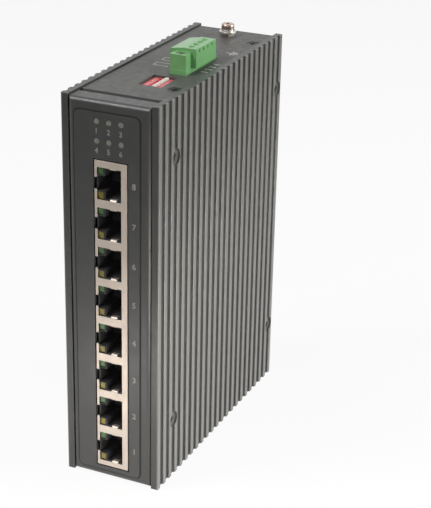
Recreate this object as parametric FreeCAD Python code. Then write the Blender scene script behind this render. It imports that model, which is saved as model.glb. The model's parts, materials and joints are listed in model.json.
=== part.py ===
import FreeCAD, Part
import math
import os

# DIN rail ethernet switch: two ribbed side shells around a folded sheet case, with eight ganged
# sockets on the front, a DIP switch, a plug-in terminal and an earth screw on the top, and a
# sprung rail clip on the back.
# Millimetres. X runs across the case, Y from the front face to the back, Z up from the shells' feet.
# Shapes are made with Y = 0 on the front face, and save() moves them to the middle of the depth.

V = FreeCAD.Vector
X_AXIS = V(1, 0, 0)
Y_AXIS = V(0, 1, 0)
Z_AXIS = V(0, 0, 1)

# ---- case ----
case_width = 41.0
case_height = 160.0
case_depth = 116.0
sheet = 1.5
bend_radius = 2.0
bend_inner_radius = 0.5
side_gap = 0.2
cover_drop = 0.7
overshoot = 1.0

# ---- ribbed side shells ----
shell_setback = 0.7
shell_wall = 2.2
rib_height = 0.85
rib_width = 2.4
rib_count = 23
rib_crest_radius = 0.45

# ---- side screws, in the grooves behind the third rib and before the last ----
screw_shank_radius = 1.45
tapped_radius = 1.5
clearance_hole_radius = 1.65
csk_head_radius = 2.8
csk_head_height = 1.3
csk_gap = 0.05
side_screw_low = 25.5
side_screw_top_margin = 23.0
side_screw_front_groove = 3
side_screw_length = 5.2
pocket_radius = 3.3
ear_height = 16.0
ear_margin = 7.0
recess_arm = 1.7
recess_slot = 0.7
recess_depth = 0.8

# ---- front panel and its printed film ----
panel_flange = 7.9
label_left_margin = 2.85
label_right_margin = 4.45
label_bottom_margin = 3.1
label_top_margin = 4.5
label_radius = 2.0
label_thickness = 0.3

# ---- cover: top, back and bottom in one folded sheet ----
cover_start = 10.9
cover_bend_radius = 2.0
joggle_run = 0.5
joggle_drop = 2.2
joggle_web = 1.3
lip_start = 3.0

# ---- ganged socket block ----
port_count = 8
jack_foot = 5.4
jack_head_room = 23.0
jack_left = -6.05
jack_width = 13.6
jack_depth = 21.5
jack_proud = 0.35
jack_top_margin = 2.6
jack_bottom_margin = 2.0
jack_panel_gap = 0.6
shield_sheet = 0.25
shield_gap = 0.05
window_height = 12.9
window_left_strip = 1.0
window_right_flange = 2.4
cavity_height = 11.9
cavity_depth = 12.2
plug_space = 6.9
latch_height = 6.1
notch_height = 4.8
notch_depth = 3.6
notch_recess = 1.2
led_height = 2.95
led_width = 2.5
led_depth = 3.6
led_recess = 0.9
led_gap = 0.05
led_divider = 0.35
finger_width = 2.6
finger_reach = 0.65
finger_length = 2.6
contact_count = 8
contact_pitch = 1.02
contact_width = 0.45
contact_thickness = 0.3
contact_rise = 2.5

# ---- status lights ----
status_columns = 3
status_rows = 2
status_pitch_x = 5.08
status_pitch_z = 7.62
status_top_margin = 8.0
status_pipe_radius = 1.1
status_pipe_gap = 0.08
status_pipe_proud = 0.15
status_pipe_length = 7.9
status_bar_thickness = 1.2
status_bar_margin = 1.8
status_led_size = 2.0
status_led_thickness = 0.6
status_led_gap = 0.1

# ---- boards ----
board = 1.6
board_gap = 0.05
main_board_front = 3.0
main_board_back_gap = 10.0
main_board_foot = 4.3
board_step = 1.4
led_board_thickness = 1.2
led_board_left = -8.0
io_board_left = -7.0
io_board_side_gap = 0.55
io_board_front = 18.0
io_board_back_gap = 8.0
standoff_radius = 2.75
post_inset_front = 27.0
post_inset_back = 8.0
post_inset_z = 7.0
pan_head_radius = 2.8
pan_head_height = 1.9
board_screw_length = 4.4
io_screw_length = 2.9

# ---- parts on the boards ----
chip_size = 20.0
chip_thickness = 1.5
chip_y = 60.0
chip_z = 80.0
pad_thickness = 0.6
spreader_margin = 3.0
magnetics_count = 4
magnetics_length = 24.0
magnetics_width = 13.0
magnetics_height = 7.5
magnetics_gap = 13.3
capacitor_count = 2
capacitor_radius = 5.0
capacitor_length = 14.0
capacitor_pitch = 13.0
capacitor_back_gap = 24.0
capacitor_z = 98.0
link_length = 14.0
link_width = 5.0
link_y = 77.0

# ---- DIP switch ----
dip_x = 3.65
dip_y = 32.3
dip_positions = 5
dip_pitch = 2.54
dip_width = 9.6
dip_end_wall = 0.5
dip_recess = 1.0
dip_window_gap = 0.2
slider_width = 2.2
slider_length = 1.7
slider_travel = 2.1
slider_gap = 0.05
slider_rise = 0.85
slot_depth = 1.1

# ---- terminal header and plug ----
terminal_x = 6.75
terminal_y = 57.15
pole_count = 4
pole_pitch = 3.81
header_height = 9.2
header_width = 7.1
header_wall = 1.0
header_floor = 1.6
header_proud = 1.9
cavity_end_margin = 2.2
tongue_gap = 0.2
tongue_depth = 6.8
flange_length = 5.2
flange_height = 6.1
flange_width = 6.7
flange_inset = 0.2
plug_left = 1.0
plug_right = 12.1
plug_height = 8.4
plug_end_margin = 2.93
plug_shoulder = 6.1
plug_slope_run = 4.0
pin_size = 1.0
pin_tail = 1.5
pin_gap = 0.1
pin_hole_radius = 0.75
pin_top_margin = 1.2
socket_outer = 2.3
socket_gap = 0.05
socket_rise = 1.6
well_width = 2.9
well_depth_x = 3.2
cage_wall = 0.4
cage_height = 4.2
clamp_axis_height = 4.0
clamp_head_radius = 1.2
clamp_head_length = 1.3
clamp_shank_radius = 0.8
clamp_hole_radius = 1.35
test_slot_width = 0.9
test_slot_height = 1.2
test_slot_depth = 0.6
test_slot_margin = 0.6
flange_screw_head_radius = 1.9
flange_screw_head_height = 1.2
flange_screw_shank_radius = 1.2
flange_screw_length = 11.0
flange_bore_gap = 0.1
flange_counterbore_depth = 1.5
nut_radius = 2.0
nut_height = 4.0
cover_slot_gap = 0.3

# ---- top screws and earth screw ----
top_screw_inset = 2.7
top_screw_front = 7.5
top_screw_back = 9.0
top_screw_sink = 0.2
top_screw_length = 5.4
earth_x = -0.2
earth_back_margin = 10.5
earth_shank_radius = 1.5
earth_washer_radius = 3.6
earth_washer_thickness = 0.7
earth_spring_radius = 2.75
earth_spring_thickness = 0.8
earth_spring_split = 0.6
earth_head_radius = 2.7
earth_head_height = 2.4
earth_head_crown = 0.8
earth_recess_arm = 1.4
earth_tail = 4.6
insert_radius = 2.9
insert_height = 3.0
insert_barrel_radius = 2.2
insert_collar_radius = 3.1
insert_collar_height = 1.3
washer_gap = 0.1

# ---- rail clip on the back ----
rail_height = 35.0
rail_centre_z = 79.8
rail_slack = 0.2
clip_width = 30.0
clip_plate = 2.4
clip_top = 108.0
clip_bottom = 38.0
hook_gap = 2.0
hook_wall = 1.6
hook_shelf = 2.0
hook_reach = 2.8
foot_width = 18.0
foot_thickness = 4.0
foot_gap = 0.15
foot_bottom = 26.0
foot_travel = 4.0
jaw_reach = 3.0
jaw_gap = 1.6
jaw_bevel = 1.4
guide_wall = 2.0
guide_lip = 1.5
guide_cap = 1.2
guide_bottom = 44.0
guide_top = 57.0
pull_slot_width = 7.0
pull_slot_height = 3.0
pull_slot_z = 31.5
spring_radius = 1.65
spring_wire_radius = 0.25
spring_wire_sides = 4
spring_turns = 5
spring_window_width = 4.4
spring_room = 11.5
tab_z = 42.6
tab_thickness = 1.6
clip_screw_x = 10.5
clip_screw_top = 104.0
clip_screw_middle = 72.0
clip_screw_length = 4.6

# ---- places that follow from the sizes above ----
shell_outer = case_width / 2
shell_root = shell_outer - rib_height
shell_inner = shell_root - shell_wall
rib_pitch = (case_depth - shell_setback - rib_width) / (rib_count - 1)
sheet_side = shell_inner - side_gap
cover_top = case_height - cover_drop
cover_bottom = cover_drop
cover_under = cover_top - sheet
label_left = -sheet_side + label_left_margin
label_right = sheet_side - label_right_margin
label_bottom = cover_bottom + label_bottom_margin
label_top = cover_top - label_top_margin
side_screw_high = case_height - side_screw_top_margin
status_top_z = cover_top - status_top_margin
jack_right = jack_left + jack_width
jack_front = -jack_proud
jack_back = jack_front + jack_depth
jack_bottom = cover_bottom + jack_foot
jack_top = cover_top - jack_head_room
first_port_z = jack_bottom + jack_bottom_margin + window_height / 2
last_port_z = jack_top - jack_top_margin - window_height / 2
port_pitch = (last_port_z - first_port_z) / (port_count - 1)
main_board_x = jack_right + board_gap
main_board_back = case_depth - main_board_back_gap
main_board_bottom = cover_bottom + main_board_foot
clip_back = case_depth + clip_plate
foot_front = clip_back + foot_gap
foot_back = foot_front + foot_thickness
guide_back = foot_back + foot_gap + guide_cap
header_top = cover_top + header_proud
io_board_top = header_top - header_height
io_board_bottom = io_board_top - board
io_board_right = shell_inner - io_board_side_gap
io_board_back = case_depth - io_board_back_gap
main_board_top = io_board_bottom - board_step
magnetics_y = jack_back + magnetics_gap + magnetics_width / 2
capacitor_y = main_board_back - capacitor_back_gap
top_screw_x = io_board_right - top_screw_inset
top_screw_front_y = io_board_front + top_screw_front
top_screw_back_y = io_board_back - top_screw_back
earth_y = case_depth - earth_back_margin
port_heights = [first_port_z + index * port_pitch for index in range(port_count)]
pole_places = [terminal_y + (index - (pole_count - 1) / 2) * pole_pitch for index in range(pole_count)]
dip_places = [dip_y + (index - (dip_positions - 1) / 2) * dip_pitch for index in range(dip_positions)]
origin_y = (jack_front + guide_back) / 2


# ---- helpers ----
def block(x_from, x_to, y_from, y_to, z_from, z_to):
    """Box between two corners."""
    return Part.makeBox(x_to - x_from, y_to - y_from, z_to - z_from, V(x_from, y_from, z_from))


def rod(radius, start, direction, length):
    """Round bar from a point along a direction."""
    return Part.makeCylinder(radius, length, start, direction)


def prism(points, sweep):
    """Polygon swept along a vector."""
    return Part.Face(Part.makePolygon(points + [points[0]])).extrude(sweep)


def hexagon(radius, start, height):
    """Upright six-sided bar, its size given across the corners."""
    corners = [start + V(radius * math.cos(math.radians(60 * index)),
                         radius * math.sin(math.radians(60 * index)), 0) for index in range(6)]
    return prism(corners, V(0, 0, height))


def fuse(shapes):
    """One clean solid from touching shapes."""
    return shapes[0].fuse(shapes[1:]).removeSplitter()


def cut(shape, tools):
    """Shape less every tool."""
    return shape.cut(tools).removeSplitter()


def group(shapes):
    """Separate solids kept in one node."""
    return Part.makeCompound(shapes)


def mirrored(shape):
    """Copy on the other side of the middle plane."""
    return shape.mirror(V(0, 0, 0), X_AXIS)


def edges_along(shape, direction, test):
    """Straight edges parallel to a direction whose middle passes the test."""
    found = []
    for edge in shape.Edges:
        if isinstance(edge.Curve, Part.Line) and edge.Curve.Direction.cross(direction).Length < 1e-6:
            if test(edge.CenterOfMass):
                found.append(edge)
    return found


def turned(shape, direction):
    """Shape made along +Z, turned so that +Z points along a direction."""
    return shape.transformed(FreeCAD.Placement(V(0, 0, 0), FreeCAD.Rotation(Z_AXIS, direction)).toMatrix())


def placed(shape, direction, position):
    """Shape made along +Z, turned to a direction and moved to a place."""
    result = turned(shape, direction)
    result.translate(position)
    return result


# ---- fasteners, made with the head's top at Z = 0 and the shank down ----
def cross_recess(arm, slot, depth):
    """Cross that a driver fits, as a tool to cut with."""
    first = block(-arm, arm, -slot / 2, slot / 2, -depth, depth)
    second = block(-slot / 2, slot / 2, -arm, arm, -depth, depth)
    return first.fuse(second)


def countersunk_screw(length):
    """Flat head screw, its length counted from the head's top."""
    head = Part.makeCone(screw_shank_radius, csk_head_radius, csk_head_height, V(0, 0, -csk_head_height))
    shank = rod(screw_shank_radius, V(0, 0, -length), Z_AXIS, length - csk_head_height)
    return cut(fuse([head, shank]), [cross_recess(recess_arm, recess_slot, recess_depth)])


def countersink(depth):
    """Seat for a flat head screw, as a tool to cut with, down to a depth."""
    seat = Part.makeCone(screw_shank_radius + csk_gap, csk_head_radius + csk_gap, csk_head_height,
                         V(0, 0, -csk_head_height))
    return seat.fuse(rod(clearance_hole_radius, V(0, 0, -depth), Z_AXIS, depth))


def pan_screw(length):
    """Pan head screw for the boards, its length counted under the head."""
    head = rod(pan_head_radius, V(0, 0, -pan_head_height), Z_AXIS, pan_head_height)
    shank = rod(screw_shank_radius, V(0, 0, -pan_head_height - length), Z_AXIS, length)
    return cut(fuse([head, shank]), [cross_recess(recess_arm, recess_slot, recess_depth)])


# ---- side shells ----
def groove_middle(ribs_before):
    """Y of the groove that follows a number of ribs."""
    return shell_setback + rib_width / 2 + (ribs_before - 0.5) * rib_pitch


def side_screw_places():
    """Y and Z of the four screws of one side."""
    front_y = groove_middle(side_screw_front_groove)
    back_y = groove_middle(rib_count - 1)
    return [(y, z) for y in (front_y, back_y) for z in (side_screw_low, side_screw_high)]


def rib_edges(start):
    """Outline of one rib from root to root, with rounded crest corners."""
    end = start + rib_width
    shoulder = shell_outer - rib_crest_radius
    corner = rib_crest_radius * (1 - math.sqrt(0.5))
    return [
        Part.makeLine(V(shell_root, start, 0), V(shoulder, start, 0)),
        Part.Arc(V(shoulder, start, 0), V(shell_outer - corner, start + corner, 0),
                 V(shell_outer, start + rib_crest_radius, 0)).toShape(),
        Part.makeLine(V(shell_outer, start + rib_crest_radius, 0),
                      V(shell_outer, end - rib_crest_radius, 0)),
        Part.Arc(V(shell_outer, end - rib_crest_radius, 0), V(shell_outer - corner, end - corner, 0),
                 V(shoulder, end, 0)).toShape(),
        Part.makeLine(V(shoulder, end, 0), V(shell_root, end, 0)),
    ]


def make_side_shell():
    """Right-hand extrusion: a wall with vertical ribs, spot-faced at its screws."""
    edges = []
    for index in range(rib_count):
        start = shell_setback + index * rib_pitch
        edges += rib_edges(start)
        if index < rib_count - 1:
            edges.append(Part.makeLine(V(shell_root, start + rib_width, 0),
                                       V(shell_root, start + rib_pitch, 0)))
    edges.append(Part.makeLine(V(shell_root, case_depth, 0), V(shell_inner, case_depth, 0)))
    edges.append(Part.makeLine(V(shell_inner, case_depth, 0), V(shell_inner, shell_setback, 0)))
    edges.append(Part.makeLine(V(shell_inner, shell_setback, 0), V(shell_root, shell_setback, 0)))
    shell = Part.Face(Part.Wire(edges)).extrude(V(0, 0, case_height))
    tools = []
    for y, z in side_screw_places():
        tools.append(rod(pocket_radius, V(shell_root, y, z), X_AXIS, rib_height))
        tools.append(placed(countersink(shell_wall), X_AXIS, V(shell_root, y, z)))
    return cut(shell, tools)


def make_side_screws():
    """Four flat head screws of the right side, their heads level with the groove floors."""
    screw = countersunk_screw(side_screw_length)
    return group([placed(screw, X_AXIS, V(shell_root, y, z)) for y, z in side_screw_places()])


# ---- front panel ----
def ears(y_from, y_to):
    """Tapped tabs behind both shells at the side screws' heights, without their holes."""
    tabs = []
    for z in (side_screw_low, side_screw_high):
        tab = block(sheet_side - sheet, sheet_side, y_from, y_to, z - ear_height / 2, z + ear_height / 2)
        tabs += [tab, mirrored(tab)]
    return tabs


def ear_holes(y):
    """Tapped holes through the ears of both sides."""
    return [rod(tapped_radius, V(-shell_inner, y, z), X_AXIS, 2 * shell_inner)
            for z in (side_screw_low, side_screw_high)]


def status_places():
    """X and Z of the status lights."""
    columns = [(index - (status_columns - 1) / 2) * status_pitch_x for index in range(status_columns)]
    rows = [status_top_z - index * status_pitch_z for index in range(status_rows)]
    return [(x, z) for z in rows for x in columns]


def front_openings():
    """Socket opening and light holes that the panel and its film share."""
    gap = jack_panel_gap
    tools = [block(jack_left - gap, jack_right + gap, -sheet, 2 * sheet, jack_bottom - gap, jack_top + gap)]
    for x, z in status_places():
        tools.append(rod(status_pipe_radius + status_pipe_gap, V(x, -sheet, z), Y_AXIS, 3 * sheet))
    return tools


def make_front_panel():
    """Folded sheet pan with rounded bends, a flange on each side and four tapped ears."""
    outer = block(-sheet_side, sheet_side, 0, panel_flange, cover_bottom, cover_top)
    front_edges = [edge for edge in outer.Edges if edge.CenterOfMass.y < panel_flange / 4]
    outer = outer.makeFillet(bend_radius, front_edges)
    inner = block(-sheet_side + sheet, sheet_side - sheet, sheet, 2 * panel_flange,
                  cover_bottom + sheet, cover_top - sheet)
    inner_edges = [edge for edge in inner.Edges if edge.CenterOfMass.y < sheet + bend_inner_radius]
    inner = inner.makeFillet(bend_inner_radius, inner_edges)
    front_y = groove_middle(side_screw_front_groove)
    pan = fuse([outer.cut(inner)] + ears(panel_flange - sheet, front_y + ear_margin))
    return cut(pan, front_openings() + ear_holes(front_y))


def make_front_label():
    """Printed film with rounded corners, on the panel's face."""
    film = block(label_left, label_right, -label_thickness, 0, label_bottom, label_top)
    film = film.makeFillet(label_radius, edges_along(film, Y_AXIS, lambda middle: True))
    return cut(film, front_openings())


# ---- cover ----
def joggle(sign, level):
    """Step inward across the full width, and a lip behind the panel's flange; sign is +1 at the top."""
    inside = level - sign * sheet
    foot = level - sign * joggle_drop
    foot_inside = inside - sign * joggle_drop
    step_start = cover_start - joggle_run
    profile = [(cover_start, level), (step_start, foot), (step_start, foot_inside),
               (step_start + joggle_web, foot_inside), (cover_start + joggle_web, inside),
               (cover_start + joggle_web, level)]
    web = prism([V(-sheet_side, y, z) for y, z in profile], V(2 * sheet_side, 0, 0))
    lip = block(-sheet_side + sheet, sheet_side - sheet, lip_start, step_start + joggle_web,
                min(foot, foot_inside), max(foot, foot_inside))
    return web.fuse(lip)


def header_half_length():
    """Half of the header's length along Y, flanges included."""
    return (pole_count - 1) * pole_pitch / 2 + plug_end_margin + flange_length + flange_inset


def top_openings():
    """DIP window, header slot and screw holes of the top."""
    gap = cover_slot_gap
    half_header = header_half_length()
    half_dip = dip_body_length() / 2 + dip_window_gap
    low = cover_under - sheet
    high = cover_top + sheet
    tools = [
        block(terminal_x - header_width / 2 - gap, terminal_x + header_width / 2 + gap,
              terminal_y - half_header - gap, terminal_y + half_header + gap, low, high),
        block(dip_x - dip_width / 2 - dip_window_gap, dip_x + dip_width / 2 + dip_window_gap,
              dip_y - half_dip, dip_y + half_dip, low, high),
        rod(insert_barrel_radius + csk_gap, V(earth_x, earth_y, low), Z_AXIS, high - low),
    ]
    for y in (top_screw_front_y, top_screw_back_y):
        seat = V(top_screw_x, y, cover_top - top_screw_sink)
        tools.append(placed(countersink(2 * sheet), Z_AXIS, seat))
        tools.append(rod(csk_head_radius + csk_gap, seat, Z_AXIS, overshoot))
    return tools


def clip_screw_places():
    """X and Z of the screws that hold the rail clip."""
    return [(-clip_screw_x, clip_screw_top), (clip_screw_x, clip_screw_top), (0, clip_screw_middle)]


def make_cover():
    """Top, back and bottom folded from one sheet, with joggled lips and four tapped tabs."""
    outer = block(-sheet_side, sheet_side, cover_start, case_depth, cover_bottom, cover_top)
    outer = outer.makeFillet(cover_bend_radius,
                             edges_along(outer, X_AXIS, lambda middle: middle.y > case_depth - sheet))
    inner = block(-sheet_side - sheet, sheet_side + sheet, cover_start - sheet, case_depth - sheet,
                  cover_bottom + sheet, cover_under)
    inner = inner.makeFillet(cover_bend_radius - sheet,
                             edges_along(inner, X_AXIS, lambda middle: middle.y > cover_start))
    back_y = groove_middle(rib_count - 1)
    wrap = fuse([outer.cut(inner), joggle(1, cover_top), joggle(-1, cover_bottom)]
                + ears(back_y - ear_margin, case_depth - sheet / 2))
    holes = top_openings() + ear_holes(back_y)
    for x, z in clip_screw_places():
        holes.append(rod(tapped_radius, V(x, case_depth - 2 * sheet, z), Y_AXIS, 3 * sheet))
    return cut(wrap, holes)


def make_top_screws():
    """Two flat head screws that carry the small board under the top."""
    screw = countersunk_screw(top_screw_length)
    return group([screw.translated(V(top_screw_x, y, cover_top - top_screw_sink))
                  for y in (top_screw_front_y, top_screw_back_y)])


# ---- ganged socket block ----
def window_left():
    """Left side of a socket's window in the shield."""
    return jack_left + window_left_strip


def window_right():
    """Right side of a socket's window in the shield."""
    return jack_right - window_right_flange


def finger_middle():
    """X of the middle of the earthing fingers, halfway across the plug space."""
    return window_right() - plug_space / 2


def spring_finger(port_z, side):
    """Earthing finger that curls from a window's edge into the socket; side is +1 above."""
    wall = shield_sheet
    edge_z = port_z + side * (window_height / 2 + wall)
    reach = finger_reach + wall
    corner = reach * (1 - math.sqrt(0.5))
    inner_corner = wall + finger_reach * (1 - math.sqrt(0.5))
    x = finger_middle() - finger_width / 2
    turn_y = jack_front + reach
    back_y = jack_front + finger_length
    outline = [
        Part.Arc(V(x, jack_front, edge_z), V(x, jack_front + corner, edge_z - side * (reach - corner)),
                 V(x, turn_y, edge_z - side * reach)).toShape(),
        Part.makeLine(V(x, turn_y, edge_z - side * reach), V(x, back_y, edge_z - side * 2 * wall)),
        Part.makeLine(V(x, back_y, edge_z - side * 2 * wall), V(x, back_y, edge_z - side * wall)),
        Part.makeLine(V(x, back_y, edge_z - side * wall), V(x, turn_y, edge_z - side * finger_reach)),
        Part.Arc(V(x, turn_y, edge_z - side * finger_reach),
                 V(x, jack_front + inner_corner, edge_z - side * (finger_reach - inner_corner + wall)),
                 V(x, jack_front + wall, edge_z)).toShape(),
        Part.makeLine(V(x, jack_front + wall, edge_z), V(x, jack_front, edge_z)),
    ]
    return Part.Face(Part.Wire(outline)).extrude(V(finger_width, 0, 0))


def make_jack_shield():
    """Tinned sheet can with eight windows, latch notches and curled earthing fingers."""
    wall = shield_sheet
    can = block(jack_left, jack_right, jack_front, jack_back, jack_bottom, jack_top)
    tools = [block(jack_left + wall, jack_right - wall, jack_front + wall, jack_back - wall,
                   jack_bottom + wall, jack_top - wall)]
    tools.append(block(jack_right - 2 * wall, jack_right + wall, notch_depth, jack_back - wall,
                       jack_bottom + wall, jack_top - wall))
    for z in port_heights:
        tools.append(block(window_left(), window_right(), jack_front - wall, jack_front + 2 * wall,
                           z - window_height / 2, z + window_height / 2))
        tools.append(block(jack_left - wall, window_left() + wall, jack_front - wall, notch_depth,
                           z - notch_height / 2, z + notch_height / 2))
    fingers = [spring_finger(z, side) for z in port_heights for side in (-1, 1)]
    return fuse([can.cut(tools)] + fingers)


def led_lowest(port_z, side):
    """Lower Z of a corner light's recess; side is +1 for the upper corner."""
    nearer = latch_height / 2 + led_divider
    return port_z + nearer if side > 0 else port_z - nearer - led_height


def make_jack_housing():
    """Moulded block behind the shield: plug space, latch slot and light recesses per socket."""
    inset = shield_sheet + shield_gap
    front = jack_front + inset
    housing = block(jack_left + inset, jack_right - inset, front, jack_back - inset,
                    jack_bottom + inset, jack_top - inset)
    tools = []
    for z in port_heights:
        deep = jack_front + cavity_depth
        tools.append(block(window_right() - plug_space, window_right(), jack_front, deep,
                           z - cavity_height / 2, z + cavity_height / 2))
        tools.append(block(window_left(), window_right() - plug_space + inset, jack_front, deep,
                           z - latch_height / 2, z + latch_height / 2))
        tools.append(block(jack_left, window_left() + inset, jack_front, jack_front + notch_recess,
                           z - notch_height / 2, z + notch_height / 2))
        for side in (-1, 1):
            low = led_lowest(z, side)
            tools.append(block(window_left(), window_left() + led_width, jack_front,
                               jack_front + led_recess + led_depth + led_gap, low, low + led_height))
        room = window_height / 2 + shield_sheet + shield_gap
        tools.append(block(finger_middle() - finger_width / 2 - shield_gap,
                           finger_middle() + finger_width / 2 + shield_gap,
                           jack_front, jack_front + finger_length + shield_gap, z - room, z + room))
    return cut(housing, tools)


def make_jack_leds(side):
    """Corner light of each socket, upper or lower."""
    lights = []
    for z in port_heights:
        low = led_lowest(z, side) + led_gap
        light = block(window_left() + led_gap, window_left() + led_width - led_gap,
                      jack_front + led_recess, jack_front + led_recess + led_depth,
                      low, low + led_height - 2 * led_gap)
        lights.append(light)
    return group(lights)


def make_jack_contacts():
    """Eight bent spring contacts per socket, rising from the board side of the plug space."""
    floor_x = window_right() - shield_gap
    crest_x = floor_x - contact_rise
    front = jack_front + cavity_depth / 6
    crest = jack_front + cavity_depth * 2 / 3
    back = jack_front + cavity_depth
    contacts = []
    for port_z in port_heights:
        for index in range(contact_count):
            z = port_z + (index - (contact_count - 1) / 2) * contact_pitch - contact_width / 2
            points = [V(floor_x, front, z), V(crest_x, crest, z), V(crest_x + contact_rise / 3, back, z),
                      V(crest_x + contact_rise / 3 - contact_thickness, back, z),
                      V(crest_x - contact_thickness, crest, z), V(floor_x - contact_thickness, front, z)]
            contacts.append(prism(points, V(0, 0, contact_width)))
    return group(contacts)


# ---- status lights ----
def status_bar():
    """X and Z limits of the bar that joins the light pipes, and of the board behind it."""
    xs = [place[0] for place in status_places()]
    zs = [place[1] for place in status_places()]
    margin = status_pipe_radius + status_bar_margin
    return min(xs) - margin, max(xs) + margin, min(zs) - margin, max(zs) + margin


def make_status_light_pipe():
    """Clear moulding: six short rods on one bar behind the panel."""
    x_from, x_to, z_from, z_to = status_bar()
    bar = block(x_from, x_to, sheet, sheet + status_bar_thickness, z_from, z_to)
    rods = []
    for x, z in status_places():
        pipe = rod(status_pipe_radius, V(x, -status_pipe_proud, z), Y_AXIS,
                   status_pipe_length + status_pipe_proud)
        rods.append(pipe)
    return fuse([bar] + rods)


def led_board_front():
    """Y of the small light board's front face."""
    return status_pipe_length + status_led_gap + status_led_thickness


def make_status_leds():
    """Six surface lights on the small board, one behind each pipe."""
    half = status_led_size / 2
    start = led_board_front() - status_led_thickness
    return group([block(x - half, x + half, start, led_board_front(), z - half, z + half)
                  for x, z in status_places()])


def make_led_board():
    """Small upright board that reaches the main board."""
    x_from, x_to, z_from, z_to = status_bar()
    return block(led_board_left, main_board_x, led_board_front(),
                 led_board_front() + led_board_thickness, z_from, z_to)


# ---- boards and the parts on them ----
def post_places():
    """Y and Z of the main board's posts."""
    ys = (main_board_front + post_inset_front, main_board_back - post_inset_back)
    zs = (main_board_bottom + post_inset_z, main_board_top - post_inset_z)
    return [(y, z) for y in ys for z in zs]


def make_main_board():
    """Upright board that carries the socket block."""
    plate = block(main_board_x, main_board_x + board, main_board_front, main_board_back,
                  main_board_bottom, main_board_top)
    return cut(plate, [rod(clearance_hole_radius, V(main_board_x - board, y, z), X_AXIS, 3 * board)
                       for y, z in post_places()])


def hex_post(length):
    """Hexagonal spacer with a tapped bore, standing on Z = 0."""
    start = V(0, 0, 0)
    return hexagon(standoff_radius, start, length).cut(rod(tapped_radius, start, Z_AXIS, length))


def make_main_board_posts():
    """Four spacers between the main board and the right shell."""
    start = main_board_x + board
    post = hex_post(shell_inner - start)
    return group([placed(post, X_AXIS, V(start, y, z)) for y, z in post_places()])


def make_main_board_screws():
    """Four pan head screws through the main board into its spacers."""
    screw = pan_screw(board_screw_length)
    return group([placed(screw, -X_AXIS, V(main_board_x - pan_head_height, y, z))
                  for y, z in post_places()])


def make_io_board():
    """Board under the top for the DIP switch, the header and the incoming supply."""
    plate = block(io_board_left, io_board_right, io_board_front, io_board_back,
                  io_board_bottom, io_board_top)
    tools = [rod(pin_hole_radius, V(terminal_x, y, io_board_bottom - board), Z_AXIS, 3 * board)
             for y in pole_places]
    for y in (top_screw_front_y, top_screw_back_y):
        tools.append(rod(clearance_hole_radius, V(top_screw_x, y, io_board_bottom - board),
                         Z_AXIS, 3 * board))
    return cut(plate, tools)


def make_io_board_posts():
    """Two spacers between the small board and the top."""
    post = hex_post(cover_under - io_board_top)
    return group([post.translated(V(top_screw_x, y, io_board_top))
                  for y in (top_screw_front_y, top_screw_back_y)])


def make_io_board_screws():
    """Two hexagon head screws from below the small board."""
    screws = []
    for y in (top_screw_front_y, top_screw_back_y):
        head_start = V(top_screw_x, y, io_board_bottom - pan_head_height)
        head = hexagon(pan_head_radius, head_start, pan_head_height)
        shank = rod(screw_shank_radius, V(top_screw_x, y, io_board_bottom), Z_AXIS, io_screw_length)
        screws.append(fuse([head, shank]))
    return group(screws)


def make_board_link():
    """Plug-in connector in the corner between the two boards."""
    body = block(main_board_x - link_width, main_board_x, link_y - link_length / 2,
                 link_y + link_length / 2, main_board_top - link_width, io_board_bottom)
    bevel_edges = edges_along(body, Y_AXIS, lambda middle: middle.x < main_board_x - link_width / 2)
    return body.makeChamfer(board / 2, bevel_edges)


def make_switch_chip():
    """Flat package on the shell side of the main board."""
    start = main_board_x + board
    chip = block(start, start + chip_thickness, chip_y - chip_size / 2, chip_y + chip_size / 2,
                 chip_z - chip_size / 2, chip_z + chip_size / 2)
    return chip.makeChamfer(chip_thickness / 2, [max(edges_along(chip, X_AXIS, lambda middle: True),
                                                     key=lambda edge: edge.CenterOfMass.z)])


def make_heat_spreader():
    """Aluminium block from the chip to the pad."""
    half = chip_size / 2 + spreader_margin
    return block(main_board_x + board + chip_thickness, shell_inner - pad_thickness,
                 chip_y - half, chip_y + half, chip_z - half, chip_z + half)


def make_thermal_pad():
    """Soft pad between the block and the right shell."""
    half = chip_size / 2 + spreader_margin
    return block(shell_inner - pad_thickness, shell_inner, chip_y - half, chip_y + half,
                 chip_z - half, chip_z + half)


def make_port_magnetics():
    """Row of line transformers behind the sockets."""
    pitch = 2 * port_pitch
    parts = []
    for index in range(magnetics_count):
        z = first_port_z + port_pitch / 2 + index * pitch
        package = block(main_board_x - magnetics_height, main_board_x,
                        magnetics_y - magnetics_width / 2, magnetics_y + magnetics_width / 2,
                        z - magnetics_length / 2, z + magnetics_length / 2)
        parts.append(package)
    return group(parts)


def make_capacitors():
    """Round cans on the main board."""
    cans = []
    for index in range(capacitor_count):
        z = capacitor_z + index * capacitor_pitch
        cans.append(rod(capacitor_radius, V(main_board_x - capacitor_length, capacitor_y, z), X_AXIS,
                        capacitor_length))
    return group(cans)


# ---- DIP switch ----
def dip_body_length():
    """Length of the DIP switch along its row of sliders."""
    return dip_positions * dip_pitch + 2 * dip_end_wall


def dip_top():
    """Height of the DIP switch's face, just under the window's rim."""
    return cover_top - dip_recess


def make_dip_body():
    """Red moulding with one slot per slider."""
    body = block(dip_x - dip_width / 2, dip_x + dip_width / 2, dip_y - dip_body_length() / 2,
                 dip_y + dip_body_length() / 2, io_board_top, dip_top())
    half = (slider_travel + slider_length) / 2 + slider_gap
    slots = [block(dip_x - half, dip_x + half, y - slider_width / 2 - slider_gap,
                   y + slider_width / 2 + slider_gap, dip_top() - slot_depth, dip_top() + slot_depth)
             for y in dip_places]
    return cut(body, slots)


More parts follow.
